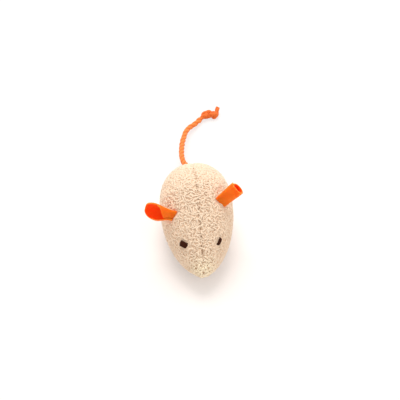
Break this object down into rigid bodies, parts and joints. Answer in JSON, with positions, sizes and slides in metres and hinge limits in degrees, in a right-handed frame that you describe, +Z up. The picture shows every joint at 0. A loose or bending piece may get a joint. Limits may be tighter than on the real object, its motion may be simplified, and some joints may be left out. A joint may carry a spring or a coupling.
{
  "type": "catnip mouse toy",
  "caption": "Stuffed cat toy shaped as a mouse: looped terry body filled with fibre and catnip, folding felt ears, embroidered eyes and a knotted cord tail.",
  "frame": {"origin": "the middle of the flat patch of the belly on which the mouse stands", "axes": "+Z up, -Y towards the nose, +X towards the mouse's left"},
  "size_m": [0.0592, 0.1468, 0.05],
  "materials": {
    "terry": "matte",
    "felt": "matte",
    "cord": "matte",
    "eye_thread": "satin",
    "sewing_thread": "matte",
    "fibre": "matte",
    "dried_leaf": "matte"
  },
  "bodies": {
    "torso": {"left_side_panel": "terry", "right_side_panel": "terry", "belly_panel": "terry", "left_eye": "eye_thread", "right_eye": "eye_thread", "back_seam_thread": "sewing_thread", "left_belly_thread": "sewing_thread", "right_belly_thread": "sewing_thread", "closing_thread": "sewing_thread", "left_dart_thread": "sewing_thread", "right_dart_thread": "sewing_thread", "front_stuffing": "fibre", "rear_stuffing": "fibre", "catnip_filling": "dried_leaf", "tail_anchor": "cord"},
    "ear_left": {"left_ear": "felt"},
    "ear_right": {"right_ear": "felt"},
    "tail_upper": {"tail_root": "cord"},
    "tail_lower": {"tail_end": "cord", "tail_knot": "cord"}
  },
  "joints": [
    {"name": "left_ear_fold", "type": "hinge", "parent": "torso", "child": "ear_left", "pos_m": [0.01475, -0.00229, 0.03788], "axis": [0.6494, -0.3177, -0.6909], "range_deg": [-35, 80], "stiffness_Nm_per_rad": 0.001},
    {"name": "right_ear_fold", "type": "hinge", "parent": "torso", "child": "ear_right", "pos_m": [-0.01643, -0.0067, 0.03375], "axis": [0.5242, 0.3145, 0.7914], "range_deg": [-30, 80], "stiffness_Nm_per_rad": 0.001},
    {"name": "tail_swing", "type": "hinge", "parent": "torso", "child": "tail_upper", "pos_m": [0, 0.0396, 0.021], "axis": [0, 0, 1], "range_deg": [-70, 70]},
    {"name": "tail_lift", "type": "hinge", "parent": "tail_upper", "child": "tail_lower", "pos_m": [-0.003, 0.07168, 0.00937], "axis": [0.9876, -0.157, 0], "range_deg": [0, 90]}
  ]
}
